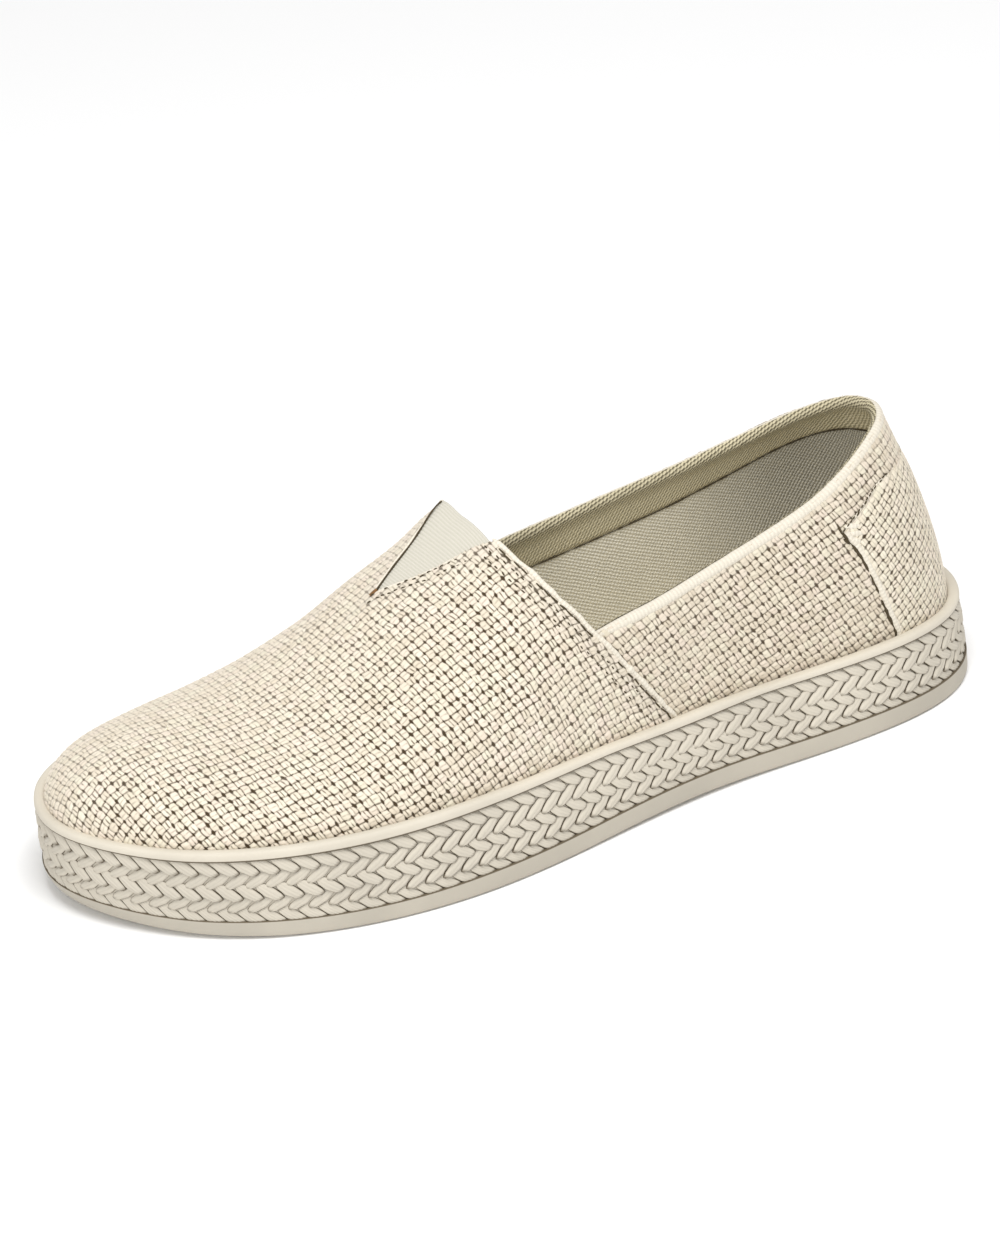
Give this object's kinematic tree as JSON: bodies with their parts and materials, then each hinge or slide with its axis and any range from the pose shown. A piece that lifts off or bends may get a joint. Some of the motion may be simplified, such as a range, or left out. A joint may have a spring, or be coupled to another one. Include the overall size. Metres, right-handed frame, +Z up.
{
  "type": "canvas loafer",
  "caption": "Slip-on canvas loafer, left shoe, with a hollow open upper, an elastic gore at the instep, a heel patch and a plaited-look rubber sole.",
  "frame": {"origin": "on the floor under the middle of the shoe's bounding box", "axes": "+X from heel to toe, +Y to the outer side of this left shoe, +Z up"},
  "size_m": [0.2924, 0.1064, 0.0861],
  "materials": {
    "canvas": "coarse basket-weave natural canvas",
    "elastic": "finely ribbed elastic webbing",
    "rubber": "matt moulded cream rubber",
    "footbed": "fine twill lining cloth"
  },
  "bodies": {
    "root": {"outsole": "rubber", "midsole": "rubber", "insole": "footbed", "upper": "canvas", "heel_counter": "canvas", "elastic_gore": "elastic"}
  },
  "joints": []
}
